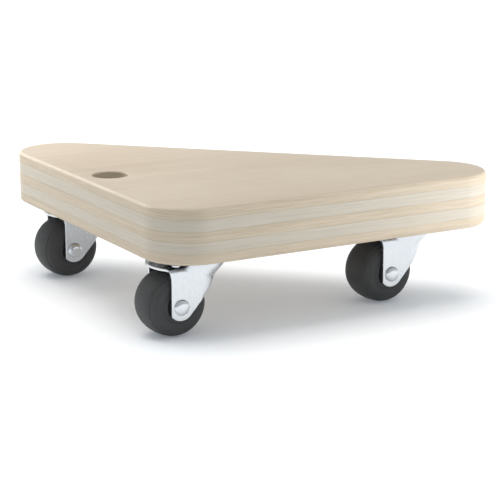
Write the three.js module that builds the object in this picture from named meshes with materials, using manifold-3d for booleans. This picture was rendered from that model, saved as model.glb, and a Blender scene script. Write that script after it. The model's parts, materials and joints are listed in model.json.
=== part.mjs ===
// Triangular furniture dolly: a thick plywood deck with a grip hole, carried by three
// swivel castors. Millimetres, +Z up. The floor is z = 0 and the origin is under the
// middle of the deck's bounding box. The deck's right angle points to -X and -Y.

import * as THREE from 'three';
import { mergeVertices } from 'three/addons/utils/BufferGeometryUtils.js';
import Module from 'manifold-3d';

const wasm = await Module();
wasm.setup();

// ---- driving dimensions -------------------------------------------------------------

const GAP = 0.3; // air between separate pieces that sit one inside the other

// Deck
const LEG = 300; // both short sides, measured over the rounded corners
const DECK_THICKNESS = 42;
const DECK_CORNER_RADIUS = 37;
const DECK_EDGE_RADIUS = 3;
const GRIP_HOLE_RADIUS = 14;
const GRIP_HOLE_INSET = 25.5; // hole centre to the side face it is near
const GRIP_HOLE_ALONG = 146.5; // hole centre to the other short side

// Castor
const WHEEL_RADIUS = 25;
const WHEEL_WIDTH = 32;
const CASTOR_HEIGHT = 60; // floor to the deck's underside
const TRAIL = 16; // swivel axis to axle
const SHEET = 2; // fork steel
const WHEEL_SIDE_GAP = 1.6;
const LEG_REACH = 8; // front edge of a fork leg, ahead of the axle
const LIP_REACH = 1.2; // crown's front lip, ahead of the legs
const LIP_BOTTOM = 46; // the legs' front edges run out to the lip above this height
const BOSS_RADIUS = 10.3; // round lower end of a fork leg
const REAR_LEAN = THREE.MathUtils.degToRad(41.5); // rear edge of a leg, off the vertical
const CROWN_TOP = 54.6;
const CUP_RADIUS = 25.5; // the cup round the bearing, open at the front
const CUP_FRONT = -14; // where the cup starts, from the swivel axis
const CUP_TOP = 58;
const FLARE_BOTTOM = 45; // the walls open out into the cup above this height
const FLARE_HEIGHT = 6.5;
const AXLE_RADIUS = 3;
const BUSH_RADIUS = 4.6;
const RIVET_HEAD_RADIUS = 6;
const RIVET_HEAD_HEIGHT = 2.6;
const CORE_RADIUS = 12.7;

// Plate, screws and bearing
const PLATE_SIDE = 52;
const PLATE_THICKNESS = 1.6;
const PLATE_CORNER_RADIUS = 4;
const SCREW_SPACING = 43;
const SCREW_RADIUS = 2;
const SCREW_HEAD_RADIUS = 3.4;
const SCREW_HEAD_HEIGHT = 2.2;
const SCREW_DEPTH = 20;
const PIN_RADIUS = 2.8;
const PIN_HEAD_RADIUS = 3.7;
const PIN_HEAD_HEIGHT = 1.5;
const PIN_COLLAR_RADIUS = 4.8;
const PIN_COLLAR_HEIGHT = 0.9;
const HUB_TOP = 56.2; // raised middle of the fork crown, which the balls run on
const HUB_RADIUS = 13;
const BALL_RADIUS = 0.95;
const CAGE_THICKNESS = 0.8;
const CAGE_HALF_WIDTH = 1.1;
const UPPER_BALL_CIRCLE = 9.5;
const LOWER_BALL_CIRCLE = 5.2;
const RACE_THICKNESS = 1;
const RACE_RIM = 1.5; // race's outer edge, outside its balls' circle

// Where each castor swivels, from the deck's right-angled corner
const CASTORS = {
  left: [43, 241],
  front: [38.5, 41],
  right: [226.5, 44.5],
};

// ---- values worked out from them ----------------------------------------------------

const HALF_LEG = LEG / 2;
const FORK_HALF = WHEEL_WIDTH / 2 + WHEEL_SIDE_GAP + SHEET; // middle to a leg's outer face
const INNER_HALF = FORK_HALF - SHEET;
const FORK_FRONT = -TRAIL - LEG_REACH;
const LIP_FRONT = FORK_FRONT - LIP_REACH;
const PLATE_BOTTOM = CASTOR_HEIGHT - PLATE_THICKNESS;
const CROWN_BOTTOM = CROWN_TOP - SHEET;
const HUB_BOTTOM = HUB_TOP - SHEET;
const PIN_HOLE_RADIUS = PIN_RADIUS + GAP;
const RACE_TOP = HUB_BOTTOM - 2 * BALL_RADIUS - GAP;
const RACE_BOTTOM = RACE_TOP - RACE_THICKNESS;
const TURN = Math.PI / 2;

// ---- materials ----------------------------------------------------------------------

function makeMaterial(color, roughness, metalness) {
  return new THREE.MeshStandardMaterial({ color, roughness, metalness });
}

const plywood = () => makeMaterial(0xd8c8ac, 0.6, 0);
const zincSteel = () => makeMaterial(0xdde2e6, 0.3, 0.9);
const bearingSteel = () => makeMaterial(0x9a9ea3, 0.25, 1);
const rubber = () => makeMaterial(0x38393b, 0.75, 0);
const darkPlastic = () => makeMaterial(0x303133, 0.6, 0);

// ---- solids -------------------------------------------------------------------------

function toSolid(geometry) {
  const bare = geometry.clone();
  bare.deleteAttribute('normal');
  bare.deleteAttribute('uv');
  const merged = mergeVertices(bare, 1e-4);
  const vertProperties = new Float32Array(merged.attributes.position.array);
  const triVerts = new Uint32Array(merged.index.array);
  return new wasm.Manifold(new wasm.Mesh({ numProp: 3, vertProperties, triVerts }));
}

function toGeometry(solid) {
  const mesh = solid.getMesh();
  const geometry = new THREE.BufferGeometry();
  geometry.setAttribute('position', new THREE.BufferAttribute(mesh.vertProperties, 3));
  geometry.setIndex(new THREE.BufferAttribute(mesh.triVerts, 1));
  geometry.computeVertexNormals();
  return geometry;
}

// A solid of revolution about Z from [radius, z] points.
function turned(points, segments) {
  const profile = points.map(([radius, z]) => new THREE.Vector2(radius, z));
  return new THREE.LatheGeometry(profile, segments).rotateX(TURN);
}

// A ring of rectangular section, as a closed profile.
function ring(inner, outer, bottom, top, segments) {
  const corners = [[inner, bottom], [outer, bottom], [outer, top], [inner, top], [inner, bottom]];
  return turned(corners, segments);
}

function extruded(shape, bottom, top, curveSegments) {
  const options = { depth: top - bottom, bevelEnabled: false, curveSegments };
  return new THREE.ExtrudeGeometry(shape, options).translate(0, 0, bottom);
}

// An outline drawn in X and Z, extruded from -halfWidth to halfWidth in Y.
function extrudedAcross(shape, halfWidth, curveSegments) {
  return extruded(shape, -halfWidth, halfWidth, curveSegments).rotateX(TURN);
}

function circlePath(x, y, radius) {
  return new THREE.Path().absarc(x, y, radius, 0, 2 * Math.PI, true);
}

function addMesh(group, name, geometry, material) {
  const mesh = new THREE.Mesh(geometry, material);
  mesh.name = name;
  group.add(mesh);
  return mesh;
}

// ---- deck ---------------------------------------------------------------------------

function deckOutline() {
  const near = DECK_CORNER_RADIUS - HALF_LEG;
  const far = HALF_LEG - DECK_CORNER_RADIUS;
  const shape = new THREE.Shape();
  shape.absarc(near, near, DECK_CORNER_RADIUS, Math.PI, 1.5 * Math.PI);
  shape.absarc(far, near, DECK_CORNER_RADIUS, -TURN, TURN / 2);
  shape.absarc(near, far, DECK_CORNER_RADIUS, TURN / 2, Math.PI);
  return shape;
}

function screwPlaces() {
  const offsets = [-SCREW_SPACING / 2, SCREW_SPACING / 2];
  return offsets.flatMap((x) => offsets.map((y) => [x, y]));
}

function pilotHole(castor, [x, y]) {
  const depth = SCREW_DEPTH + GAP;
  const hole = new THREE.CylinderGeometry(SCREW_RADIUS + GAP, SCREW_RADIUS + GAP, 2 * depth, 8);
  hole.rotateX(TURN).translate(castor[0] - HALF_LEG + x, castor[1] - HALF_LEG + y, CASTOR_HEIGHT);
  return toSolid(hole);
}

function makeDeck() {
  const shape = deckOutline();
  const holeX = GRIP_HOLE_INSET - HALF_LEG;
  const holeY = GRIP_HOLE_ALONG - HALF_LEG;
  shape.holes.push(circlePath(holeX, holeY, GRIP_HOLE_RADIUS));
  const block = new THREE.ExtrudeGeometry(shape, {
    depth: DECK_THICKNESS - 2 * DECK_EDGE_RADIUS,
    bevelThickness: DECK_EDGE_RADIUS,
    bevelSize: DECK_EDGE_RADIUS,
    bevelOffset: -DECK_EDGE_RADIUS,
    bevelSegments: 2,
    curveSegments: 8,
  });
  block.translate(0, 0, CASTOR_HEIGHT + DECK_EDGE_RADIUS);
  let solid = toSolid(block);
  for (const castor of Object.values(CASTORS)) {
    for (const place of screwPlaces()) {
      solid = solid.subtract(pilotHole(castor, place));
    }
  }
  return toGeometry(solid);
}

// ---- castor: fixed pieces -----------------------------------------------------------

function makeTopPlate() {
  const half = PLATE_SIDE / 2;
  const round = PLATE_CORNER_RADIUS;
  const shape = new THREE.Shape();
  shape.absarc(half - round, half - round, round, 0, TURN);
  shape.absarc(round - half, half - round, round, TURN, Math.PI);
  shape.absarc(round - half, round - half, round, Math.PI, 1.5 * Math.PI);
  shape.absarc(half - round, round - half, round, 1.5 * Math.PI, 2 * Math.PI);
  shape.holes.push(circlePath(0, 0, PIN_HOLE_RADIUS));
  for (const [x, y] of screwPlaces()) {
    shape.holes.push(circlePath(x, y, SCREW_RADIUS + GAP));
  }
  return extruded(shape, PLATE_BOTTOM, CASTOR_HEIGHT, 4);
}

function makeScrew() {
  const headBottom = PLATE_BOTTOM - SCREW_HEAD_HEIGHT;
  const tip = CASTOR_HEIGHT + SCREW_DEPTH;
  const points = [
    [0, headBottom],
    [SCREW_HEAD_RADIUS * 0.7, headBottom + SCREW_HEAD_HEIGHT * 0.3],
    [SCREW_HEAD_RADIUS, PLATE_BOTTOM],
    [SCREW_RADIUS, PLATE_BOTTOM],
    [SCREW_RADIUS, tip - 2 * SCREW_RADIUS],
    [0, tip],
  ];
  return turned(points, 10);
}

function makeKingpin() {
  const collarBottom = PLATE_BOTTOM - PIN_COLLAR_HEIGHT;
  const points = [
    [0, RACE_BOTTOM - PIN_HEAD_HEIGHT],
    [PIN_HEAD_RADIUS * 0.75, RACE_BOTTOM - PIN_HEAD_HEIGHT],
    [PIN_HEAD_RADIUS, RACE_BOTTOM - PIN_HEAD_HEIGHT / 2],
    [PIN_HEAD_RADIUS, RACE_BOTTOM],
    [PIN_RADIUS, RACE_BOTTOM],
    [PIN_RADIUS, collarBottom],
    [PIN_COLLAR_RADIUS, collarBottom],
    [PIN_COLLAR_RADIUS, PLATE_BOTTOM],
    [PIN_RADIUS, PLATE_BOTTOM],
    [PIN_RADIUS, CASTOR_HEIGHT],
    [0, CASTOR_HEIGHT],
  ];
  return turned(points, 12);
}

function makeLowerRace() {
  return ring(PIN_HOLE_RADIUS, LOWER_BALL_CIRCLE + RACE_RIM, RACE_BOTTOM, RACE_TOP, 16);
}

// ---- castor: pieces that swivel -----------------------------------------------------

function makeBallRing(circleRadius, middle, count) {
  const bottom = middle - CAGE_THICKNESS / 2;
  const inner = circleRadius - CAGE_HALF_WIDTH;
  const outer = circleRadius + CAGE_HALF_WIDTH;
  let solid = toSolid(ring(inner, outer, bottom, bottom + CAGE_THICKNESS, 12));
  for (let index = 0; index < count; index += 1) {
    const angle = (2 * Math.PI * index) / count;
    const ball = new THREE.SphereGeometry(BALL_RADIUS, 6, 4);
    ball.translate(circleRadius * Math.cos(angle), circleRadius * Math.sin(angle), middle);
    solid = solid.add(toSolid(ball));
  }
  return toGeometry(solid);
}

// The fork seen from above: two straight sides joined by a half circle at the rear.
function forkWallOutline() {
  const shape = new THREE.Shape();
  shape.moveTo(LIP_FRONT, -FORK_HALF);
  shape.lineTo(0, -FORK_HALF);
  shape.absarc(0, 0, FORK_HALF, -TURN, TURN);
  shape.lineTo(LIP_FRONT, FORK_HALF);
  shape.lineTo(LIP_FRONT, INNER_HALF);
  shape.absarc(0, 0, INNER_HALF, TURN, -TURN, true);
  shape.lineTo(LIP_FRONT, -INNER_HALF);
  return shape;
}

// The fork's walls seen from the side: a front edge that runs out to the lip at its top,
// a round boss and a leaning rear edge.
function forkSideOutline() {
  const rearSlope = 1 / Math.tan(REAR_LEAN);
  const tangentX = -TRAIL + BOSS_RADIUS * Math.cos(REAR_LEAN);
  const tangentZ = WHEEL_RADIUS - BOSS_RADIUS * Math.sin(REAR_LEAN);
  const frontAngle = Math.PI + Math.acos(LEG_REACH / BOSS_RADIUS);
  const shape = new THREE.Shape();
  shape.moveTo(LIP_FRONT, CROWN_TOP);
  shape.lineTo(LIP_FRONT, CROWN_BOTTOM);
  shape.lineTo(FORK_FRONT, LIP_BOTTOM);
  shape.lineTo(FORK_FRONT, WHEEL_RADIUS + BOSS_RADIUS * Math.sin(frontAngle));
  shape.absarc(-TRAIL, WHEEL_RADIUS, BOSS_RADIUS, frontAngle, 2 * Math.PI - REAR_LEAN);
  shape.lineTo(FORK_HALF, tangentZ + (FORK_HALF - tangentX) * rearSlope);
  shape.lineTo(FORK_HALF, CROWN_TOP);
  return shape;
}

// The crown seen from above, with an arc at the front and the hub's opening.
function crownOutline() {
  const cornerAngle = Math.atan2(FORK_HALF, -LIP_FRONT);
  const cornerRadius = Math.hypot(FORK_HALF, LIP_FRONT);
  const shape = new THREE.Shape();
  shape.absarc(0, 0, FORK_HALF, -TURN, TURN);
  shape.absarc(0, 0, cornerRadius, Math.PI - cornerAngle, Math.PI + cornerAngle);
  shape.holes.push(circlePath(0, 0, HUB_RADIUS - SHEET / 2));
  return shape;
}

// The raised middle of the crown, with the kingpin's hole.
function makeHub() {
  const points = [
    [PIN_HOLE_RADIUS, HUB_BOTTOM],
    [HUB_RADIUS - SHEET, HUB_BOTTOM],
    [HUB_RADIUS - SHEET, CROWN_BOTTOM],
    [HUB_RADIUS, CROWN_BOTTOM],
    [HUB_RADIUS, HUB_TOP],
    [PIN_HOLE_RADIUS, HUB_TOP],
    [PIN_HOLE_RADIUS, HUB_BOTTOM],
  ];
  return turned(points, 18);
}

// The fork's walls open out into a cup round the bearing. It leaves room for the wheel
// between the straight walls.
function makeCup() {
  const bend = FLARE_BOTTOM + FLARE_HEIGHT;
  const points = [
    [INNER_HALF, FLARE_BOTTOM],
    [FORK_HALF, FLARE_BOTTOM],
    [CUP_RADIUS, bend],
    [CUP_RADIUS, CUP_TOP],
    [CUP_RADIUS - SHEET, CUP_TOP],
    [CUP_RADIUS - SHEET, bend + SHEET / 2],
    [INNER_HALF, FLARE_BOTTOM + SHEET],
    [INNER_HALF, FLARE_BOTTOM],
  ];
  const block = new THREE.BoxGeometry(2 * CUP_RADIUS, 4 * CUP_RADIUS, 4 * CUP_RADIUS);
  block.translate(CUP_FRONT + CUP_RADIUS, 0, CUP_TOP);
  const room = new THREE.BoxGeometry(CUP_RADIUS, 2 * INNER_HALF, CROWN_BOTTOM);
  room.translate(-CUP_RADIUS / 2, 0, CROWN_BOTTOM / 2);
  return toSolid(turned(points, 32)).intersect(toSolid(block)).subtract(toSolid(room));
}

function makeAxleHole() {
  const hole = new THREE.CylinderGeometry(AXLE_RADIUS + GAP, AXLE_RADIUS + GAP, 4 * FORK_HALF, 16);
  return toSolid(hole.translate(-TRAIL, 0, WHEEL_RADIUS));
}

function makeFork() {
  const walls = toSolid(extruded(forkWallOutline(), 0, CROWN_TOP, 8));
  const side = toSolid(extrudedAcross(forkSideOutline(), 2 * FORK_HALF, 6));
  const crown = toSolid(extruded(crownOutline(), CROWN_BOTTOM, CROWN_TOP, 8));
  const fork = walls.intersect(side).add(crown).add(toSolid(makeHub())).add(makeCup());
  return toGeometry(fork.subtract(makeAxleHole()));
}

// Turned pieces on the axle are drawn along Z and laid over along Y.
function onAxle(geometry) {
  return geometry.rotateX(TURN).translate(-TRAIL, 0, WHEEL_RADIUS);
}

function makeAxleRivet() {
  const face = FORK_HALF;
  const tip = face + RIVET_HEAD_HEIGHT;
  const shoulder = face + RIVET_HEAD_HEIGHT * 0.6;
  const half = [
    [AXLE_RADIUS, face],
    [RIVET_HEAD_RADIUS, face],
    [RIVET_HEAD_RADIUS * 0.8, shoulder],
    [RIVET_HEAD_RADIUS * 0.4, tip - 0.2],
    [0, tip],
  ];
  const mirrored = half.map(([radius, z]) => [radius, -z]).reverse();
  return onAxle(turned([...mirrored, ...half], 16));
}

function makeAxleBush() {
  const end = INNER_HALF - GAP;
  return onAxle(ring(AXLE_RADIUS + GAP, BUSH_RADIUS, -end, end, 12));
}

// ---- castor: pieces that roll -------------------------------------------------------

function makeWheelCore() {
  const half = WHEEL_WIDTH / 2;
  const bore = BUSH_RADIUS + GAP;
  return onAxle(ring(bore, CORE_RADIUS, -half, half, 20));
}

// Crowned tread with rounded shoulders.
function makeTyre() {
  const half = WHEEL_WIDTH / 2;
  const bore = CORE_RADIUS + GAP;
  const outer = [
    [WHEEL_RADIUS * 0.6, half],
    [WHEEL_RADIUS * 0.78, half * 0.91],
    [WHEEL_RADIUS * 0.91, half * 0.73],
    [WHEEL_RADIUS * 0.98, half * 0.48],
    [WHEEL_RADIUS, half * 0.2],
  ];
  const mirrored = outer.map(([radius, z]) => [radius, -z]).reverse();
  const points = [[bore, half], ...outer, ...mirrored, [bore, -half], [bore, half]];
  return onAxle(turned(points.reverse(), 32));
}

// ---- assembly -----------------------------------------------------------------------

function makeCastor(side, [x, y]) {
  const castor = new THREE.Group();
  castor.position.set(x - HALF_LEG, y - HALF_LEG, 0);
  addMesh(castor, `${side}_top_plate`, makeTopPlate(), zincSteel());
  screwPlaces().forEach((place, index) => {
    const screw = addMesh(castor, `${side}_screw_${index + 1}`, makeScrew(), zincSteel());
    screw.position.set(place[0], place[1], 0);
  });
  addMesh(castor, `${side}_kingpin`, makeKingpin(), zincSteel());
  addMesh(castor, `${side}_lower_race`, makeLowerRace(), bearingSteel());
  const upperBalls = makeBallRing(UPPER_BALL_CIRCLE, (PLATE_BOTTOM + HUB_TOP) / 2, 6);
  const lowerBalls = makeBallRing(LOWER_BALL_CIRCLE, (RACE_TOP + HUB_BOTTOM) / 2, 5);
  addMesh(castor, `${side}_upper_ball_ring`, upperBalls, bearingSteel());
  addMesh(castor, `${side}_lower_ball_ring`, lowerBalls, bearingSteel());
  addMesh(castor, `${side}_fork`, makeFork(), zincSteel());
  addMesh(castor, `${side}_axle_rivet`, makeAxleRivet(), zincSteel());
  addMesh(castor, `${side}_axle_bush`, makeAxleBush(), bearingSteel());
  addMesh(castor, `${side}_wheel_core`, makeWheelCore(), darkPlastic());
  addMesh(castor, `${side}_tyre`, makeTyre(), rubber());
  return castor;
}

const dolly = new THREE.Group();
addMesh(dolly, 'deck', makeDeck(), plywood());
for (const [side, place] of Object.entries(CASTORS)) {
  dolly.add(makeCastor(side, place));
}

export default dolly;
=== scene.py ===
"""Looks for the triangular furniture dolly: plywood deck on three swivel castors.

Shapes are written in millimetres and turned into metres when a mesh is made.
Castor pieces are drawn once, round their own swivel axis, and used three times.
"""

import json
import math

import bpy
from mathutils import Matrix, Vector
from mathutils.geometry import tessellate_polygon


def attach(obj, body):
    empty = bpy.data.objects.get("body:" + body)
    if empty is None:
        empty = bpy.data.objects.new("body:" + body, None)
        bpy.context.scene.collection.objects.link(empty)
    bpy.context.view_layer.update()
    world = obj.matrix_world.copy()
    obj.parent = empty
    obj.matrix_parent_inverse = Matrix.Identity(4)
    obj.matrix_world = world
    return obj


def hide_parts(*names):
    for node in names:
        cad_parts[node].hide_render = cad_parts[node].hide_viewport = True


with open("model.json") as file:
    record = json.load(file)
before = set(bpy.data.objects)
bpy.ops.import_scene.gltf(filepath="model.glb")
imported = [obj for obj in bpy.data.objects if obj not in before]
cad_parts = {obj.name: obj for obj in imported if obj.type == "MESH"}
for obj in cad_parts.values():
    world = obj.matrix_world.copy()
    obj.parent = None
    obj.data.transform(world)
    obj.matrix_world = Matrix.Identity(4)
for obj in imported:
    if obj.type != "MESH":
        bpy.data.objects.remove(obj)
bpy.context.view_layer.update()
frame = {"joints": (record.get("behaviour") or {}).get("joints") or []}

MM = 0.001
SHARP_ANGLE = math.radians(40)
SMALL_HOLE = 5.0  # holes of a smaller radius get fewer sides
CUTTER_REACH = 1.0  # how far a cutter sticks out of what it cuts
GAP = 0.3  # air between a pin or a bush and what it passes through

# ---- dimensions of the deck, as in the CAD part -------------------------------------
LEG = 300.0  # both short sides
HALF_LEG = LEG / 2
DECK_BOTTOM = 60.0
DECK_TOP = 102.0
DECK_CORNER_RADIUS = 37.0
DECK_EDGE_RADIUS = 3.0
GRIP_HOLE = (-124.5, -3.5)
GRIP_HOLE_RADIUS = 14.0
GRIP_EDGE_RADIUS = 1.2

# ---- dimensions of a castor: heights are above the floor, x is from the swivel axis --
WHEEL_RADIUS = 25.0
WHEEL_HALF = 16.0
TRAIL = 16.0  # how far the axle lies in front of the swivel axis

# The fork, pressed from one sheet
SHEET = 2.0
EDGE_WIDTH = 0.3  # the corner taken off each edge of the sheet
FORK_HALF = 19.6
FORK_FRONT = -24.0
LIP_FRONT = -25.2  # the crown's front lip
LIP_RADIUS = math.hypot(FORK_HALF, LIP_FRONT)
LIP_BOTTOM = 46.0  # the legs' front edges run out to the lip above this height
BOSS_RADIUS = 10.3  # the legs' round ends
REAR_LEAN = math.radians(41.5)
CROWN_TOP = 54.6
BEND_RADIUS = 3.4
CUP_REAR = 26.3  # swivel axis to the rearmost point of the cup's rim
CUP_TOP = 58.0
CUP_RISE = (-13.0, -7.0)  # the cup's edge climbs between these x
CUP_SQUARENESS = 0.5  # 0 is an oval rear; more fills out its corners
FLARE_BOTTOM = 44.8
FLARE_TOP = 51.8
FLARE_EVENNESS = 0.7  # 1 is a straight flare; less bends it where it starts and ends
HUB_RADIUS = 13.0
HUB_SLOPE = 1.6  # how far the hub's rounded side leans in
HUB_TOP = 56.2

# The top plate and its screws
PLATE_BOTTOM = 58.4
PLATE_HALF = 26.0
PLATE_CORNER_RADIUS = 4.0
PLATE_EDGE_RADIUS = 0.4
PIN_HOLE_EDGE = 0.1
SCREW_OFFSET = 21.5  # from the swivel axis, along X and along Y
SCREW_RADIUS = 2.0
SCREW_HEAD_RADIUS = 3.4
SCREW_HEAD_HEIGHT = 2.2
SCREW_DOME_HEIGHT = 1.7
SCREW_DEPTH = 20.0
THREAD_PITCH = 1.6
THREAD_DEPTH = 0.45
THREAD_START = 1.0  # above the deck's underside
RECESS_HALF_LENGTH = 2.0
RECESS_HALF_WIDTH = 0.45
RECESS_DEPTH = 1.3
PILOT_RADIUS = 2.3
PILOT_EDGE = 0.2

# The swivel bearing
PIN_RADIUS = 2.8
PIN_HOLE_RADIUS = 3.1
PIN_HEAD_RADIUS = 3.7
PIN_HEAD_RIM = 0.4
PIN_DOME_HEIGHT = 1.1
PIN_COLLAR_RADIUS = 4.8
PIN_COLLAR_HEIGHT = 0.9
PIN_COLLAR_EDGE = 0.2
RACE_BOTTOM = 51.0
RACE_TOP = 52.0
RACE_RADIUS = 6.7
RACE_EDGE = 0.3
GROOVE_RADIUS = 0.8
BALL_RADIUS = 0.95
CAGE_HALF_WIDTH = 1.1
CAGE_HALF_HEIGHT = 0.4
UPPER_CIRCLE = 9.5  # swivel axis to the balls' centres
UPPER_BALLS = 16
LOWER_CIRCLE = 5.2
LOWER_BALLS = 10

# The axle and the wheel
AXLE_RADIUS = 3.0
RIVET_HEAD_RADIUS = 6.0
RIVET_HEAD_HEIGHT = 2.6
RIVET_HEAD_FOOT = 0.3  # the straight part under the dome
BUSH_RADIUS = 4.6
BUSH_EDGE = 0.2
CORE_BORE = 4.9
CORE_RADIUS = 12.9
CORE_HUB_RADIUS = 6.6
CORE_RIM_RADIUS = 9.8
CORE_RECESS = 1.8  # depth of the ring-shaped recess between hub and rim
CORE_EDGE = 0.3
TYRE_BORE = 13.0
TYRE_EDGE = 0.1

# The tyre's outline from the tread to the bore: (radius, distance from its middle)
TREAD_LINE = [(25.0, 0.0), (24.94, 3.3), (24.6, 6.8), (24.0, 9.6), (23.2, 11.7)]
SHOULDER_LINE = [(22.5, 11.9), (22.3, 12.3)]
SIDE_LINE = [(22.1, 12.9), (21.2, 13.9), (19.9, 14.8)]
SIDE_RING = [(19.5, 14.75), (19.3, 14.95)]
RIM_LINE = [(18.9, 15.2), (17.0, 15.8), (14.5, 16.0)]
# The rivet's dome: (share of the head's radius, share of the dome's height)
DOME_LINE = [
    (1.0, 0.0), (0.985, 0.25), (0.93, 0.48), (0.8, 0.72), (0.6, 0.88), (0.35, 0.97), (0.0, 1.0),
]

# ---- how finely the castor is drawn -------------------------------------------------
BEND_STEPS = 20
WALL_STEPS = 3  # of the bend's steps, those that climb the wall below it
FLARE_STEPS = 8
RIM_STEPS = 6
HUB_STEPS = 6
BOSS_STEPS = 20
STRAIGHT_STEPS = 8
REAR_STEPS = 40
WALL_SHARES = (0.0, 0.3, 0.6, 0.78, 0.82, 0.86, 0.9, 0.94, 0.97)  # rows up the walls

# ---- plywood ------------------------------------------------------------------------
PLY_ENDS = (0.20, 0.41, 0.59, 0.81)  # where each layer but the last ends, from the bottom
PLY_BLEND = 0.003
GLUE_HALF = 0.008
TAN = (0.565, 0.480, 0.370)
TAN_DARK = (0.445, 0.365, 0.266)
PALE = (0.540, 0.493, 0.413)
PALE_DARK = (0.457, 0.410, 0.334)
FACE = (0.490, 0.414, 0.323)
FACE_DARK = (0.440, 0.363, 0.273)
GLUE = (0.33, 0.26, 0.18)

# ---- stage --------------------------------------------------------------------------
FLOOR_HALF = 20.0
FLOOR_COLOUR = (0.965, 0.975, 0.985, 1.0)
STUDIO_DARK_SIDE = (-0.5, -0.866, 0.0)  # where the studio is darkest
STUDIO_BACK = 0.79  # brightness on the side away from it
STUDIO_FRONT = 0.53
STUDIO_COLOUR = (0.91, 0.965, 1.01, 1.0)
CAMERA_PLACE = (-0.6702, -1.1708, 0.3577)
CAMERA_TILT = 76.152
CAMERA_TURN = -29.933
CAMERA_LENS = 120.26
CAMERA_SENSOR = 36.0


# ---- mesh code ----------------------------------------------------------------------
class Skin:
    """Vertices and faces of one piece, in millimetres."""

    def __init__(self):
        self.vertices = []
        self.faces = []

    def row(self, points):
        start = len(self.vertices)
        self.vertices.extend(Vector(point) for point in points)
        return list(range(start, len(self.vertices)))

    def band(self, lower, upper, closed=False):
        """Quads between two rows; a row of one vertex is a pole."""
        count = max(len(lower), len(upper))
        for index in range(count if closed else count - 1):
            following = (index + 1) % count
            if len(lower) == 1:
                face = (lower[0], upper[following], upper[index])
            elif len(upper) == 1:
                face = (lower[index], lower[following], upper[0])
            else:
                face = (lower[index], lower[following], upper[following], upper[index])
            self.faces.append(face)

    def bands(self, rows, closed=False):
        for lower, upper in zip(rows, rows[1:]):
            self.band(lower, upper, closed)

    def plate(self, loops, facing_up):
        """Fills the flat region inside the first loop and outside the others."""
        flat = [[self.vertices[index] for index in loop] for loop in loops]
        order = [index for loop in loops for index in loop]
        for triangle in tessellate_polygon(flat):
            a, b, c = (order[corner] for corner in triangle)
            along = self.vertices[b] - self.vertices[a]
            normal = along.cross(self.vertices[c] - self.vertices[a])
            self.faces.append((a, b, c) if (normal.z > 0) == facing_up else (a, c, b))

    def turned(self, profile, segments, lift=None):
        """A surface of revolution from (radius, height) points, closed round the axis.
        lift, if there is one, moves each point to where the piece needs it."""
        rows = []
        for radius, height in profile:
            count = segments if radius > 1e-6 else 1
            angles = [2 * math.pi * index / segments for index in range(count)]
            points = [(radius * math.cos(a), radius * math.sin(a), height) for a in angles]
            if lift:
                points = [lift(point) for point in points]
            rows.append(self.row(points))
        self.bands(rows, closed=True)
        return rows

    def mesh(self, name):
        mesh = bpy.data.meshes.new(name)
        mesh.from_pydata([vertex * MM for vertex in self.vertices], [], self.faces)
        mesh.validate()
        mesh.shade_smooth()
        mesh.set_sharp_from_angle(angle=SHARP_ANGLE)
        return mesh


def closed_ring(profile):
    """Ends a ring's profile where it began, so that the ring is one closed skin."""
    return profile + profile[:1]


def along_axle(point):
    """Pieces on the axle are turned about Z and laid over along Y."""
    x, y, z = point
    return (x - TRAIL, z, WHEEL_RADIUS - y)


def arc(centre, radius, start, end, steps):
    """Points (a, b) on an arc; the angles are in degrees."""
    angles = [math.radians(start + (end - start) * index / steps) for index in range(steps + 1)]
    return [(centre[0] + radius * math.cos(a), centre[1] + radius * math.sin(a)) for a in angles]


def half_dome(radius, edge, height):
    """(radius, height) points from under a dome's pole up to its edge."""
    angles = [math.radians(15 * index) for index in range(7)]
    return [(radius * math.sin(a), edge - height * math.cos(a)) for a in angles]


def mirrored(face):
    """A profile through both halves of a piece, from the half in front. A point in the
    middle is used once."""
    return [(radius, -height) for radius, height in reversed(face) if height > 0] + face


def smoothstep(value, low, high):
    """Climbs from 0 to 1 between low and high, with a soft start and end."""
    t = min(max((value - low) / (high - low), 0.0), 1.0)
    return t * t * (3 - 2 * t)


def smooth_line(points, steps):
    """A Catmull-Rom line through the points."""
    ends = [points[0], *points, points[-1]]
    line = []
    for before, start, end, after in zip(ends, ends[1:], ends[2:], ends[3:]):
        for index in range(steps):
            t = index / steps
            line.append(tuple(
                0.5 * (2 * q + (r - p) * t + (2 * p - 5 * q + 4 * r - s) * t**2
                       + (3 * q - p - 3 * r + s) * t**3)
                for p, q, r, s in zip(before, start, end, after)
            ))
    return line + [points[-1]]


def shifted_by(offset):
    """A function that moves a point by the offset."""
    return lambda point: Vector(point) + offset


def edge_insets(radius, steps):
    """(inset, drop) along a rounded edge, from the flat face to the side."""
    angles = [0.5 * math.pi * index / steps for index in range(steps + 1)]
    return [(radius * (1 - math.sin(a)), radius * (1 - math.cos(a))) for a in angles]


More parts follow.
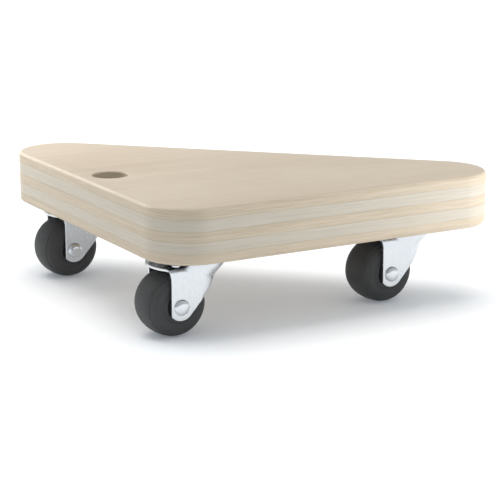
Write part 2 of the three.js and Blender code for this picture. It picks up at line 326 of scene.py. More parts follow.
def make_slab(outline, holes, bottom, top, edge_radius, steps):
    """A board with rounded edges. outline(inset) gives its plan, and holes are
    (x, y, radius, edge radius, depth), with no depth for a hole right through."""
    skin = Skin()
    rounding = edge_insets(edge_radius, steps)
    profile = [(inset, top - drop) for inset, drop in rounding]
    profile += [(inset, bottom + drop) for inset, drop in reversed(rounding)]
    rows = [skin.row((x, y, z) for x, y in outline(inset)) for inset, z in profile]
    for upper, lower in zip(rows, rows[1:]):
        skin.band(lower, upper, closed=True)
    top_loops, bottom_loops = [rows[0]], [rows[-1]]
    for x, y, radius, hole_edge, depth in holes:
        segments = 64 if radius > SMALL_HOLE else 16
        lip = edge_insets(hole_edge, 4)
        profile = [(radius + inset, bottom + drop) for inset, drop in lip]
        if depth is None:
            profile += [(radius + inset, top - drop) for inset, drop in reversed(lip)]
        else:
            profile += [(radius, bottom + depth - radius), (0.0, bottom + depth)]
        centre = Vector((x, y, 0.0))
        hole = skin.turned(profile[::-1], segments, shifted_by(centre))
        bottom_loops.append(hole[-1])
        if depth is None:
            top_loops.append(hole[0])
    skin.plate(top_loops, facing_up=True)
    skin.plate(bottom_loops, facing_up=False)
    return skin


# ---- material code ------------------------------------------------------------------
class Graph:
    """A short way to write the nodes of one material."""

    def __init__(self, name):
        self.material = bpy.data.materials.new(name)
        self.material.use_nodes = True
        self.tree = self.material.node_tree
        self.shader = self.tree.nodes["Principled BSDF"]
        self.place = self.add("ShaderNodeTexCoord").outputs["Object"]

    def add(self, kind, inputs=(), **settings):
        node = self.tree.nodes.new(kind)
        for setting, value in settings.items():
            setattr(node, setting, value)
        for key, value in dict(inputs).items():
            self.put(node.inputs[key], value)
        return node

    def put(self, socket, value):
        """Links an output to a socket, or sets the socket to a value."""
        if isinstance(value, bpy.types.NodeSocket):
            self.tree.links.new(value, socket)
        else:
            socket.default_value = value

    def math(self, operation, a, b=0.0):
        """Works on one or two values; an operation on one value leaves b out."""
        return self.add("ShaderNodeMath", {0: a, 1: b}, operation=operation).outputs[0]

    def stretched(self, scale):
        """The piece's own coordinates, stretched by a scale for each direction."""
        inputs = {0: self.place, 1: scale}
        return self.add("ShaderNodeVectorMath", inputs, operation="MULTIPLY").outputs[0]

    def noise(self, scale, detail=3.0, roughness=0.5, distortion=0.0):
        inputs = {
            "Vector": self.stretched(scale),
            "Scale": 1.0,
            "Detail": detail,
            "Roughness": roughness,
            "Distortion": distortion,
        }
        return self.add("ShaderNodeTexNoise", inputs).outputs["Fac"]

    def spread(self, value, low, high, to_low=0.0, to_high=1.0):
        """Maps low to high onto to_low to to_high, and stops at both ends."""
        inputs = {"Value": value, 1: low, 2: high, 3: to_low, 4: to_high}
        return self.add("ShaderNodeMapRange", inputs).outputs[0]

    def ramp(self, value, stops):
        """A ramp of greys from (position, grey) stops."""
        node = self.add("ShaderNodeValToRGB", {0: value})
        elements = node.color_ramp.elements
        while len(elements) < len(stops):
            elements.new(1.0)
        for element, (position, grey) in zip(elements, stops):
            element.position = position
            element.color = (grey, grey, grey, 1.0)
        return node.outputs[0]

    def mix(self, factor, a, b):
        """From a to b as the factor goes from 0 to 1; a and b are outputs or colours."""
        node = self.add("ShaderNodeMix", data_type="RGBA")
        for key, value in (("Factor_Float", factor), ("A_Color", a), ("B_Color", b)):
            socket = next(s for s in node.inputs if s.identifier == key)
            self.put(socket, (*value, 1.0) if isinstance(value, tuple) else value)
        return next(s for s in node.outputs if s.identifier == "Result_Color")

    def bump(self, height, strength, distance):
        inputs = {"Height": height, "Strength": strength, "Distance": distance}
        self.put(self.shader.inputs["Normal"], self.add("ShaderNodeBump", inputs).outputs[0])

    def set(self, **values):
        """Gives the shader's sockets their values; a socket's spaces are written _."""
        for key, value in values.items():
            self.put(self.shader.inputs[key.replace("_", " ")], value)


def plywood():
    """Tan and pale layers with glue lines on the edge, and straight grain on the face."""
    g = Graph("plywood")
    split = g.add("ShaderNodeSeparateXYZ", {0: g.place})
    waver = g.spread(g.noise((14, 14, 14), detail=2), 0, 1, -0.0004, 0.0004)
    height = g.math("ADD", split.outputs[2], waver)
    level = g.spread(height, DECK_BOTTOM * MM, DECK_TOP * MM)

    pale_stops = [(0.0, 0.0)]
    glue_stops = [(0.0, 0.0)]
    for index, end in enumerate(PLY_ENDS):
        before, after = (0.0, 1.0) if index % 2 == 0 else (1.0, 0.0)
        pale_stops += [(end - PLY_BLEND, before), (end + PLY_BLEND, after)]
        glue_stops += [(end - GLUE_HALF, 0.0), (end, 1.0), (end + GLUE_HALF, 0.0)]
    is_pale = g.ramp(level, pale_stops)
    is_glue = g.ramp(level, glue_stops)

    streaks = g.noise((16, 16, 900), detail=4, roughness=0.6)
    fibres = g.noise((60, 60, 2600), detail=3, roughness=0.6)
    edge_tone = g.spread(g.math("ADD", streaks, fibres), 0.75, 1.25)
    tan_edge = g.mix(edge_tone, TAN_DARK, TAN)
    pale_edge = g.mix(edge_tone, PALE_DARK, PALE)
    edge = g.mix(is_pale, tan_edge, pale_edge)
    glue_fades = g.spread(g.noise((25, 25, 120), detail=2), 0.35, 0.65, 0.35, 0.8)
    edge = g.mix(g.math("MULTIPLY", is_glue, glue_fades), edge, GLUE)

    grain = g.noise((5, 130, 40), detail=5, roughness=0.62, distortion=0.3)
    pores = g.noise((30, 900, 200), detail=3, roughness=0.7)
    patches = g.noise((7, 12, 7), detail=2)
    face_tone = g.math("ADD", g.math("MULTIPLY", grain, 0.6), g.math("MULTIPLY", patches, 0.5))
    face = g.mix(g.spread(face_tone, 0.42, 0.68), FACE_DARK, FACE)
    face = g.mix(g.spread(pores, 0.62, 0.75, 0.0, 0.16), face, TAN_DARK)

    normal = g.add("ShaderNodeTexCoord").outputs["Normal"]
    upright = g.math("ABSOLUTE", g.add("ShaderNodeSeparateXYZ", {0: normal}).outputs[2])
    on_face = g.spread(upright, 0.75, 0.97)
    g.set(Base_Color=g.mix(on_face, edge, face))
    g.set(Roughness=g.spread(g.math("ADD", grain, fibres), 0.7, 1.3, 0.48, 0.62))
    relief = g.mix(on_face, fibres, pores)
    g.bump(relief, 0.12, 0.0004)
    g.set(Specular_IOR_Level=0.35)
    return g.material


def plated(name, bright, dull, smooth, rough):
    """Zinc plating: metal with faint cloudy patches and fine drawing marks."""
    g = Graph(name)
    clouds = g.noise((90, 90, 90), detail=4)
    marks = g.noise((700, 700, 60), detail=3, roughness=0.6)
    g.set(Base_Color=g.mix(g.spread(clouds, 0.35, 0.65), dull, bright))
    g.set(Roughness=g.spread(g.math("ADD", clouds, marks), 0.75, 1.25, smooth, rough))
    g.bump(marks, 0.004, 0.0001)
    g.set(Metallic=1.0)
    return g.material


def moulded(name, dark, light, smooth, rough, skin_scale):
    """Dark plastic or rubber: fine mottling and a matt moulded skin."""
    g = Graph(name)
    mottle = g.noise((55, 55, 55), detail=5, roughness=0.6)
    skin = g.noise((skin_scale,) * 3, detail=2)
    g.set(Base_Color=g.mix(g.spread(mottle, 0.3, 0.7), (dark,) * 3, (light,) * 3))
    g.set(Roughness=g.spread(mottle, 0.3, 0.7, smooth, rough))
    g.bump(skin, 0.15, 0.0001)
    return g.material


MATERIALS = {
    "plywood": plywood(),
    "fork_zinc": plated("fork_zinc", (0.70, 0.718, 0.735), (0.675, 0.70, 0.73), 0.25, 0.30),
    # The top plate's zinc is drawn dark grey: painted shade for the shadowed gap between the
    # fork's crown and the deck, not the plate's own bright zinc.
    "plate_zinc": plated("plate_zinc", (0.24, 0.245, 0.25), (0.18, 0.185, 0.19), 0.34, 0.46),
    "screw_zinc": plated("screw_zinc", (0.72, 0.74, 0.76), (0.66, 0.68, 0.71), 0.16, 0.24),
    "bearing_steel": plated("bearing_steel", (0.55, 0.56, 0.58), (0.42, 0.43, 0.45), 0.2, 0.35),
    "wheel_plastic": moulded("wheel_plastic", 0.028, 0.040, 0.42, 0.55, 1800),
    "tyre_rubber": moulded("tyre_rubber", 0.033, 0.047, 0.55, 0.68, 1400),
}


# ---- deck ---------------------------------------------------------------------------
def deck_outline(inset):
    """The deck's plan, anticlockwise: a right-angled triangle with rounded corners."""
    near = DECK_CORNER_RADIUS - HALF_LEG
    far = HALF_LEG - DECK_CORNER_RADIUS
    radius = DECK_CORNER_RADIUS - inset
    points = arc((near, near), radius, 180, 270, 24)
    points += arc((far, near), radius, 270, 405, 36)
    points += arc((near, far), radius, 45, 180, 36)
    return points


def make_deck(swivels):
    """The board with its grip hole and a pilot hole for each screw."""
    depth = SCREW_DEPTH + PILOT_RADIUS - SCREW_RADIUS
    holes = [(*GRIP_HOLE, GRIP_HOLE_RADIUS, GRIP_EDGE_RADIUS, None)]
    for swivel in swivels.values():
        for x, y in screw_places():
            holes.append((swivel.x / MM + x, swivel.y / MM + y, PILOT_RADIUS, PILOT_EDGE, depth))
    slab = make_slab(deck_outline, holes, DECK_BOTTOM, DECK_TOP, DECK_EDGE_RADIUS, 8)
    return slab.mesh("deck_board")


# ---- castor pieces that stay with the deck ------------------------------------------
def screw_places():
    """(x, y) of a castor's four screws, from its swivel axis."""
    offsets = (-SCREW_OFFSET, SCREW_OFFSET)
    return [(x, y) for x in offsets for y in offsets]


def plate_outline(inset):
    """The top plate's plan, anticlockwise: a square with rounded corners."""
    flat = PLATE_HALF - PLATE_CORNER_RADIUS
    radius = PLATE_CORNER_RADIUS - inset
    points = []
    for index, (x, y) in enumerate(((1, 1), (-1, 1), (-1, -1), (1, -1))):
        points += arc((flat * x, flat * y), radius, 90 * index, 90 * index + 90, 8)
    return points


def make_top_plate():
    holes = [(0.0, 0.0, PIN_HOLE_RADIUS, PIN_HOLE_EDGE, None)]
    holes += [(x, y, PILOT_RADIUS, PILOT_EDGE, None) for x, y in screw_places()]
    slab = make_slab(plate_outline, holes, PLATE_BOTTOM, DECK_BOTTOM, PLATE_EDGE_RADIUS, 3)
    return slab.mesh("top_plate")


def make_screw():
    """A pan-head wood screw pointing up, with a cross recess in its head."""
    head_bottom = PLATE_BOTTOM - SCREW_HEAD_HEIGHT
    tip = DECK_BOTTOM + SCREW_DEPTH
    root = SCREW_RADIUS - THREAD_DEPTH
    profile = half_dome(SCREW_HEAD_RADIUS, head_bottom + SCREW_DOME_HEIGHT, SCREW_DOME_HEIGHT)
    profile += [(SCREW_HEAD_RADIUS, PLATE_BOTTOM), (SCREW_RADIUS, PLATE_BOTTOM)]
    height = DECK_BOTTOM + THREAD_START
    while height < tip - 2 * SCREW_RADIUS:
        profile += [(root, height), (SCREW_RADIUS, height + THREAD_PITCH / 2)]
        height += THREAD_PITCH
    profile += [(root, height), (0.0, tip)]
    screw = Skin()
    screw.turned(profile, 32)

    recess = Skin()
    length, width = RECESS_HALF_LENGTH, RECESS_HALF_WIDTH
    for half_x, half_y in ((length, width), (width, length)):
        corners = [(half_x, half_y), (-half_x, half_y), (-half_x, -half_y), (half_x, -half_y)]
        floor = recess.row((x, y, head_bottom + RECESS_DEPTH) for x, y in corners)
        mouth = recess.row((x, y, head_bottom - CUTTER_REACH) for x, y in corners)
        recess.band(mouth, floor, closed=True)
        recess.faces.append(tuple(floor))
        recess.faces.append(tuple(reversed(mouth)))
    return cut(screw.mesh("screw"), recess.mesh("screw_recess"))


def cut(mesh, cutter_mesh):
    """The mesh with the cutter's shape taken out of it."""
    piece = bpy.data.objects.new(mesh.name, mesh)
    cutter = bpy.data.objects.new(cutter_mesh.name, cutter_mesh)
    for used in (piece, cutter):
        bpy.context.scene.collection.objects.link(used)
    boolean = piece.modifiers.new("cut", "BOOLEAN")
    boolean.operation = "DIFFERENCE"
    boolean.solver = "EXACT"
    boolean.use_self = True
    boolean.object = cutter
    graph = bpy.context.evaluated_depsgraph_get()
    result = bpy.data.meshes.new_from_object(piece.evaluated_get(graph), depsgraph=graph)
    for used in (piece, cutter):
        bpy.data.objects.remove(used)
    result.set_sharp_from_angle(angle=SHARP_ANGLE)
    return result


def make_kingpin():
    """The rivet that holds the castor: a domed head, a shank and a collar at the plate."""
    collar_bottom = PLATE_BOTTOM - PIN_COLLAR_HEIGHT
    profile = [
        *half_dome(PIN_HEAD_RADIUS, RACE_BOTTOM - PIN_HEAD_RIM, PIN_DOME_HEIGHT),
        (PIN_HEAD_RADIUS, RACE_BOTTOM),
        (PIN_RADIUS, RACE_BOTTOM),
        (PIN_RADIUS, collar_bottom),
        (PIN_COLLAR_RADIUS - PIN_COLLAR_EDGE, collar_bottom),
        (PIN_COLLAR_RADIUS, collar_bottom + PIN_COLLAR_EDGE),
        (PIN_COLLAR_RADIUS, PLATE_BOTTOM),
        (PIN_RADIUS, PLATE_BOTTOM),
        (PIN_RADIUS, DECK_BOTTOM),
        (0.0, DECK_BOTTOM),
    ]
    skin = Skin()
    skin.turned(profile, 40)
    return skin.mesh("kingpin")


def make_lower_race():
    """A flat ring with a groove that the lower balls run in."""
    groove = arc((LOWER_CIRCLE, RACE_TOP), GROOVE_RADIUS, 200, 340, 6)
    profile = [
        (PIN_HOLE_RADIUS, RACE_BOTTOM),
        (RACE_RADIUS - RACE_EDGE, RACE_BOTTOM),
        (RACE_RADIUS, RACE_BOTTOM + RACE_EDGE),
        (RACE_RADIUS, RACE_TOP),
        *reversed(groove),
        (PIN_HOLE_RADIUS, RACE_TOP),
    ]
    skin = Skin()
    skin.turned(closed_ring(profile), 48)
    return skin.mesh("lower_race")


# ---- castor pieces that swivel ------------------------------------------------------
def make_ball_ring(name, circle_radius, middle, count):
    """Steel balls held in a thin cage."""
    skin = Skin()
    profile = [
        (circle_radius - CAGE_HALF_WIDTH, middle - CAGE_HALF_HEIGHT),
        (circle_radius + CAGE_HALF_WIDTH, middle - CAGE_HALF_HEIGHT),
        (circle_radius + CAGE_HALF_WIDTH, middle + CAGE_HALF_HEIGHT),
        (circle_radius - CAGE_HALF_WIDTH, middle + CAGE_HALF_HEIGHT),
    ]
    skin.turned(closed_ring(profile), 48)
    angles = [math.radians(22.5 * index) for index in range(8)]
    ball = [(BALL_RADIUS * math.sin(a), -BALL_RADIUS * math.cos(a)) for a in angles]
    ball.append((0.0, BALL_RADIUS))
    for index in range(count):
        turn = 2 * math.pi * index / count
        centre = Vector((circle_radius * math.cos(turn), circle_radius * math.sin(turn), middle))
        skin.turned(ball, 14, shifted_by(centre))
    return skin.mesh(name)


def leg_bottom(x):
    """Height of the fork's lower edge: round the axle, then up along the leaning rear."""
    tangent_x = BOSS_RADIUS * math.cos(REAR_LEAN) - TRAIL
    if x <= tangent_x:
        return WHEEL_RADIUS - math.sqrt(BOSS_RADIUS**2 - (x + TRAIL) ** 2)
    tangent_height = WHEEL_RADIUS - BOSS_RADIUS * math.sin(REAR_LEAN)
    height = tangent_height + (x - tangent_x) / math.tan(REAR_LEAN)
    return min(height, FLARE_BOTTOM - 4 * EDGE_WIDTH)


def fork_columns():
    """Places along the wall from its front on the -Y side to its front on the +Y side,
    as (x on the straight side, side) or (None, angle round the rear)."""
    front_angle = math.pi + math.acos((-FORK_FRONT - TRAIL) / BOSS_RADIUS)
    rear_angle = 2 * math.pi - REAR_LEAN
    boss_step = (rear_angle - front_angle) / BOSS_STEPS
    straight = [
        BOSS_RADIUS * math.cos(front_angle + boss_step * index) - TRAIL
        for index in range(BOSS_STEPS + 1)
    ]
    boss_end = straight[-1]
    straight += [boss_end * (1 - index / STRAIGHT_STEPS) for index in range(1, STRAIGHT_STEPS + 1)]
    angles = [math.radians(-90 + 180 * index / REAR_STEPS) for index in range(1, REAR_STEPS)]
    columns = [(x, -1) for x in straight]
    columns += [(None, angle) for angle in angles]
    columns += [(x, 1) for x in reversed(straight)]
    return columns


def front_reach(height):
    """How far the straight walls run in front of the swivel axis at a height."""
    share = smoothstep(height, LIP_BOTTOM, CROWN_TOP - SHEET)
    return share * (FORK_FRONT - LIP_FRONT) - FORK_FRONT


def bend_profile(radius):
    """(distance from the middle, height) up the wall and over the bend into the crown."""
    wall_height = CROWN_TOP - BEND_RADIUS - FLARE_BOTTOM
    line = []
    for index in range(BEND_STEPS + 1):
        angle = max(0.0, (index - WALL_STEPS) / (BEND_STEPS - WALL_STEPS)) * math.pi / 2
        start = FLARE_BOTTOM + wall_height * min(index / WALL_STEPS, 1)
        reach = FORK_HALF - BEND_RADIUS + radius * math.cos(angle)
        line.append((reach, start + radius * math.sin(angle)))
    return line


def cup_profile():
    """(flare, inset, height) up the wall, out to the cup, over its rim and down to the
    crown. The flare runs from 0, the straight wall, to 1, the cup's full size. There is
    a point for each point of bend_profile."""
    line = []
    for index in range(FLARE_STEPS + 1):
        share = index / FLARE_STEPS
        flare = FLARE_EVENNESS * share + (1 - FLARE_EVENNESS) * smoothstep(share, 0, 1)
        line.append((flare, 0.0, FLARE_BOTTOM + (FLARE_TOP - FLARE_BOTTOM) * share))
    rim = arc((SHEET / 2, CUP_TOP - SHEET / 2), SHEET / 2, 180, 0, RIM_STEPS)
    fillet = [(0.0, 0.6), (0.2, 0.2), (0.4, 0.0), (0.6, 0.0)]
    rim += [(SHEET + inset, CROWN_TOP + height) for inset, height in fillet]
    line += [(1.0, inset, height) for inset, height in rim]
    return line + [(0.0, BEND_RADIUS, CROWN_TOP)]


def fork_point(column, distance, height, front):
    """A point on the plain bent sheet, whose straight walls start at front."""
    x, side = column
    if x is None:
        return Vector((distance * math.cos(side), distance * math.sin(side), height))
    return Vector((x * front / -FORK_FRONT, side * distance, height))


def cup_point(column, flare, inset, height):
    """A point on the cup, which opens out at the rear and stays straight at the sides."""
    x, side = column
    across = FORK_HALF - inset
    if x is not None:
        return Vector((x, side * across, height))
    back = FORK_HALF + (CUP_REAR - FORK_HALF) * flare - inset
    power = 2 / (2 + CUP_SQUARENESS * flare)
    sideways = math.copysign(abs(math.sin(side)) ** power, math.sin(side))
    return Vector((back * abs(math.cos(side)) ** power, across * sideways, height))


def skin_edge(rows, lip):
    """The closed edge of one skin: along its lower row, up, round the lip and down."""
    up = [row[-1] for row in rows[1:]]
    down = [row[0] for row in reversed(rows[1:])]
    return rows[0] + up + lip + down


def soften_rim(skin, outer, inner, width):
    """Joins two skins along their edges, with both corners of the rim taken off."""
    corners = []
    for index, (outside, inside) in enumerate(zip(outer, inner)):
        following = outer[(index + 1) % len(outer)]
        along = skin.vertices[following] - skin.vertices[outer[index - 1]]
        through = (skin.vertices[outside] - skin.vertices[inside]).normalized()
        corners.append((through * width, along.cross(through).normalized() * width))
    outer_edge = skin.row(skin.vertices[v] - through for v, (through, _) in zip(outer, corners))
    inner_edge = skin.row(skin.vertices[v] + through for v, (through, _) in zip(inner, corners))
    for outside, inside, (_, outward) in zip(outer, inner, corners):
        skin.vertices[outside] = skin.vertices[outside] - outward
        skin.vertices[inside] = skin.vertices[inside] - outward
    skin.bands([inner, inner_edge, outer_edge, outer], closed=True)


def wall_points(columns, distance, share):
    """One row of the plain wall; the share runs from its lower edge to the flare."""
    points = []
    for column in columns:
        low = leg_bottom(fork_point(column, distance, 0.0, -FORK_FRONT).x)
        height = low + (FLARE_BOTTOM - low) * share
        points.append(fork_point(column, distance, height, front_reach(height)))
    return points


def bend_points(columns, bend, cup, front):
    """One row of the outer skin above the wall: the bend in front, the cup behind."""
    points = []
    for column in columns:
        plain = fork_point(column, *bend, front)
        rounded = cup_point(column, *cup)
        share = 1.0 if column[0] is None else smoothstep(column[0], *CUP_RISE)
        points.append(plain.lerp(rounded, share))
    return points


def fork_skin():
    """The outer and the inner side of the pressed sheet, joined along its edges."""
    skin = Skin()
    columns = fork_columns()
    outer_rows = []
    inner_rows = []
    for share in WALL_SHARES:
        outer_rows.append(skin.row(wall_points(columns, FORK_HALF, share)))
        inner_rows.append(skin.row(wall_points(columns, FORK_HALF - SHEET, share)))
    outer_bend = bend_profile(BEND_RADIUS)
    inner_bend = bend_profile(BEND_RADIUS - SHEET)
    for bend, inner, cup in zip(outer_bend, inner_bend, cup_profile(), strict=True):
        reach, height = bend
        front = math.sqrt(LIP_RADIUS**2 - reach**2) + front_reach(height) + LIP_FRONT
        outer_rows.append(skin.row(bend_points(columns, bend, cup, front)))
        inner_rows.append(skin.row(fork_point(column, *inner, front) for column in columns))
    skin.bands(outer_rows)
    skin.bands([row[::-1] for row in inner_rows])

    # Crown: the lip's arc closes each loop at the front, and the hub opens it inside.
    lip_angle = math.degrees(math.asin((FORK_HALF - BEND_RADIUS) / LIP_RADIUS))
    lip = arc((0, 0), LIP_RADIUS, 180 - lip_angle, 180 + lip_angle, 24)[1:-1]
    top_lip = skin.row((x, y, CROWN_TOP) for x, y in lip)
    bottom_lip = skin.row((x, y, CROWN_TOP - SHEET) for x, y in lip)
    outer_edge = skin_edge(outer_rows, top_lip)
    inner_edge = skin_edge(inner_rows, bottom_lip)
    soften_rim(skin, outer_edge, inner_edge, EDGE_WIDTH)
    hub = skin.turned(hub_profile(), 64)
    skin.plate([outer_rows[-1] + top_lip, hub[0]], facing_up=True)
    skin.plate([inner_rows[-1] + bottom_lip, hub[-1]], facing_up=False)
    return skin


def hub_profile():
    """The raised middle of the crown: over its top, down the pin hole and back out."""
    slope = []
    for index in range(HUB_STEPS + 1):
        share = index / HUB_STEPS
        rise = (HUB_TOP - CROWN_TOP) * smoothstep(share, 0, 1)
        slope.append((HUB_RADIUS - HUB_SLOPE * share, CROWN_TOP + rise))
    under = [(radius - SHEET, height - SHEET) for radius, height in reversed(slope)]
    return [*slope, (PIN_HOLE_RADIUS, HUB_TOP), (PIN_HOLE_RADIUS, HUB_TOP - SHEET), *under]


def make_fork():
    """The pressed fork: wall, bend, crown, hub and cup in one sheet, with an axle hole."""
    reach = 2 * FORK_HALF
    radius = AXLE_RADIUS + GAP
    hole = Skin()
    hole.turned([(0, -reach), (radius, -reach), (radius, reach), (0, reach)], 48, along_axle)
    return cut(fork_skin().mesh("fork"), hole.mesh("axle_hole"))


def make_axle_rivet():
    """A shank with a domed head outside each leg."""
    foot = FORK_HALF + RIVET_HEAD_FOOT
    dome = RIVET_HEAD_HEIGHT - RIVET_HEAD_FOOT
    head = [(AXLE_RADIUS, FORK_HALF), (RIVET_HEAD_RADIUS, FORK_HALF)]
    for radius, height in smooth_line(DOME_LINE, 4):
        head.append((RIVET_HEAD_RADIUS * radius, foot + dome * height))
    skin = Skin()
    skin.turned(mirrored(head), 64, along_axle)
    return skin.mesh("axle_rivet")


def make_axle_bush():
    """The tube on the axle that keeps the fork's legs apart."""
    end = FORK_HALF - SHEET - GAP
    bore = AXLE_RADIUS + GAP
    face = [(BUSH_RADIUS, end - BUSH_EDGE), (BUSH_RADIUS - BUSH_EDGE, end), (bore, end)]
    skin = Skin()
    skin.turned(closed_ring(mirrored(face)), 40, along_axle)
    return skin.mesh("axle_bush")


# ---- castor pieces that roll --------------------------------------------------------
def make_wheel_core():
    """Hub and rim of the wheel with a shallow ring-shaped recess between them."""
    wall = [(0.0, 0.0), (CORE_EDGE, CORE_EDGE), (0.5, 1.5), (0.8, CORE_RECESS)]
    face = [(CORE_RADIUS, WHEEL_HALF - TYRE_EDGE), (CORE_RADIUS - TYRE_EDGE, WHEEL_HALF)]
    face += [(CORE_RIM_RADIUS - lean, WHEEL_HALF - drop) for lean, drop in wall]
    face += [(CORE_HUB_RADIUS + lean, WHEEL_HALF - drop) for lean, drop in reversed(wall)]
    face += [(CORE_BORE + CORE_EDGE, WHEEL_HALF), (CORE_BORE, WHEEL_HALF - CORE_EDGE)]
    skin = Skin()
    skin.turned(closed_ring(mirrored(face)), 72, along_axle)
    return skin.mesh("wheel_core")


def make_tyre():
    """Crowned tread that meets the rounded side faces at a moulded shoulder line."""
    face = [
        *smooth_line(TREAD_LINE, 5),
        *SHOULDER_LINE,
        *smooth_line(SIDE_LINE, 4),
        *SIDE_RING,
        *smooth_line(RIM_LINE, 4),
        (TYRE_BORE + TYRE_EDGE, WHEEL_HALF),
        (TYRE_BORE, WHEEL_HALF - TYRE_EDGE),
    ]
    skin = Skin()
    skin.turned(closed_ring(mirrored(face)), 96, along_axle)
    return skin.mesh("tyre")


# ---- assembly -----------------------------------------------------------------------
def add_piece(mesh, name, node, body, slot, place):
    """Puts a piece in place of the CAD node it stands for, on that node's body."""
    piece = bpy.data.objects.new(name, mesh)
    bpy.context.scene.collection.objects.link(piece)
    piece.location = place
    if not mesh.materials:
        mesh.materials.append(MATERIALS[slot])
    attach(piece, body)
    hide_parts(node)


def castor_kit():
    """(node ending, mesh, body ending, slot) for each kind of castor piece; a piece
    with no body ending stays with the deck."""
    upper_middle = (PLATE_BOTTOM + HUB_TOP) / 2
    lower_middle = (RACE_TOP + HUB_TOP - SHEET) / 2
    upper_balls = make_ball_ring("upper_balls", UPPER_CIRCLE, upper_middle, UPPER_BALLS)
    lower_balls = make_ball_ring("lower_balls", LOWER_CIRCLE, lower_middle, LOWER_BALLS)
    return [
        ("top_plate", make_top_plate(), None, "plate_zinc"),
        ("kingpin", make_kingpin(), None, "screw_zinc"),
        ("lower_race", make_lower_race(), None, "bearing_steel"),
        ("upper_ball_ring", upper_balls, "swivel", "bearing_steel"),
        ("lower_ball_ring", lower_balls, "swivel", "bearing_steel"),
        ("fork", make_fork(), "swivel", "fork_zinc"),
        ("axle_rivet", make_axle_rivet(), "swivel", "screw_zinc"),
        ("axle_bush", make_axle_bush(), "swivel", "bearing_steel"),
        ("wheel_core", make_wheel_core(), "wheel", "wheel_plastic"),
        ("tyre", make_tyre(), "wheel", "tyre_rubber"),
    ]


def add_castors(swivels):
    """The three castors: one kit of meshes, set at each swivel axis."""
    kit = castor_kit()
    screw = make_screw()
    for side, swivel in swivels.items():
        place = Vector((swivel.x, swivel.y, 0.0))
        for ending, mesh, body, slot in kit:
            rides_on = f"{side}_{body}" if body else "deck_body"
            add_piece(mesh, f"{side}_castor_{ending}", f"{side}_{ending}", rides_on, slot, place)
        for index, (x, y) in enumerate(screw_places(), start=1):
            at = place + Vector((x, y, 0.0)) * MM
            node = f"{side}_screw_{index}"
            add_piece(screw, f"{side}_plate_screw_{index}", node, "deck_body", "screw_zinc", at)


# ---- stage --------------------------------------------------------------------------
def add_floor():
    g = Graph("studio_floor")
    g.set(Base_Color=FLOOR_COLOUR, Roughness=0.9)
    half = FLOOR_HALF
    corners = [(-half, -half, 0), (half, -half, 0), (half, half, 0), (-half, half, 0)]
    mesh = bpy.data.meshes.new("floor")
    mesh.from_pydata(corners, [], [(0, 1, 2, 3)])
    mesh.materials.append(g.material)
    floor = bpy.data.objects.new("floor", mesh)
    bpy.context.scene.collection.objects.link(floor)


def add_softbox(name, place, target, size, watts, lit):
    """A soft lamp turned to its target, for the pieces in one collection only."""
    lamp = bpy.data.lights.new(name, "AREA")
    lamp.shape = "RECTANGLE"
    lamp.size, lamp.size_y = size
    lamp.energy = watts
    softbox = bpy.data.objects.new(name, lamp)
    softbox.location = place
    direction = Vector(target) - Vector(place)
    softbox.rotation_euler = direction.to_track_quat("-Z", "Y").to_euler()
    softbox.visible_camera = False
    softbox.light_linking.receiver_collection = lit
    bpy.context.scene.collection.objects.link(softbox)


def add_world():
    """A pale studio that is darker on the side in front of the deck's corner."""
    world = bpy.data.worlds.new("studio")
    world.use_nodes = True
    nodes, links = world.node_tree.nodes, world.node_tree.links
    direction = nodes.new("ShaderNodeTexCoord").outputs["Generated"]
    facing = nodes.new("ShaderNodeVectorMath")
    facing.operation = "DOT_PRODUCT"
    facing.inputs[1].default_value = STUDIO_DARK_SIDE
    links.new(direction, facing.inputs[0])
    strength = nodes.new("ShaderNodeMapRange")
    strength.inputs["From Min"].default_value = -1.0
    strength.inputs["To Min"].default_value = STUDIO_BACK
    strength.inputs["To Max"].default_value = STUDIO_FRONT
    links.new(facing.outputs["Value"], strength.inputs["Value"])
    background = nodes["Background"]
    background.inputs["Color"].default_value = STUDIO_COLOUR
    links.new(strength.outputs["Result"], background.inputs["Strength"])
    bpy.context.scene.world = world


def collection_of(name, piece):
    """A collection that holds one piece, for a lamp that lights only that piece."""
    collection = bpy.data.collections.new(name)
    collection.objects.link(bpy.data.objects[piece])
    return collection


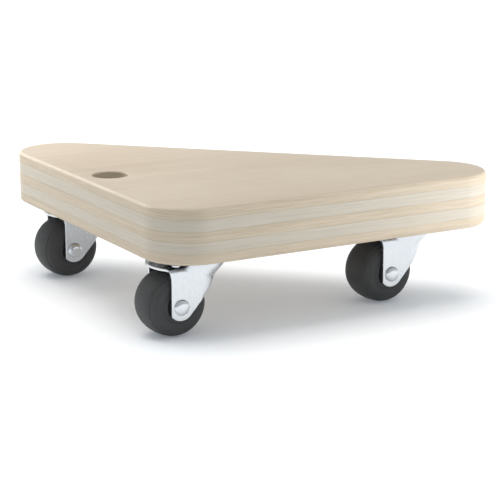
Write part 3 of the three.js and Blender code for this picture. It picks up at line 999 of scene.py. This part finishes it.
def add_sun(name, strength, colour, width=0.0, tilt=0.0):
    """A light from overhead, as wide as its angle; the tilt moves it towards +Y."""
    lamp = bpy.data.lights.new(name, "SUN")
    lamp.energy = strength
    lamp.color = colour
    lamp.angle = math.radians(width)
    sun = bpy.data.objects.new(name, lamp)
    sun.rotation_euler = (math.radians(-tilt), 0.0, 0.0)
    bpy.context.scene.collection.objects.link(sun)
    return sun


def add_lights():
    """A wide lamp overhead, a fill that lightens the shadow on the floor, and two
    softboxes that brighten the deck's left end and its right end."""
    add_sun("overhead", 1.7, (1.0, 0.945, 0.885), width=56.0, tilt=12.0)
    floor_fill = add_sun("floor_fill", 0.47, (0.94, 1.0, 1.09))
    floor_fill.data.use_shadow = False
    floor_fill.light_linking.receiver_collection = collection_of("floor_only", "floor")
    deck = collection_of("deck_only", "deck_board")
    add_softbox(
        "back", place=(-0.30, 0.45, 0.35), target=(-0.05, 0.05, 0.1), size=(0.3, 0.2),
        watts=2.2, lit=deck,
    )
    add_softbox(
        "right", place=(0.30, -0.33, 0.10), target=(0.15, -0.15, 0.08), size=(0.16, 0.12),
        watts=0.78, lit=deck,
    )


def add_camera():
    """Looks at the front corner from the left, a little from above."""
    camera = bpy.data.cameras.new("camera")
    camera.lens = CAMERA_LENS
    camera.sensor_width = CAMERA_SENSOR
    holder = bpy.data.objects.new("camera", camera)
    holder.location = CAMERA_PLACE
    holder.rotation_euler = (math.radians(CAMERA_TILT), 0.0, math.radians(CAMERA_TURN))
    bpy.context.scene.collection.objects.link(holder)
    bpy.context.scene.camera = holder


def main():
    swivels = {
        joint["name"].removesuffix("_castor_swivel"): Vector(joint["pos_m"])
        for joint in frame["joints"]
        if joint["name"].endswith("_castor_swivel")
    }
    add_camera()
    place = Vector((0.0, 0.0, 0.0))
    add_piece(make_deck(swivels), "deck_board", "deck", "deck_body", "plywood", place)
    add_castors(swivels)
    add_floor()
    add_world()
    add_lights()
    bpy.context.scene.view_settings.view_transform = "Standard"


main()
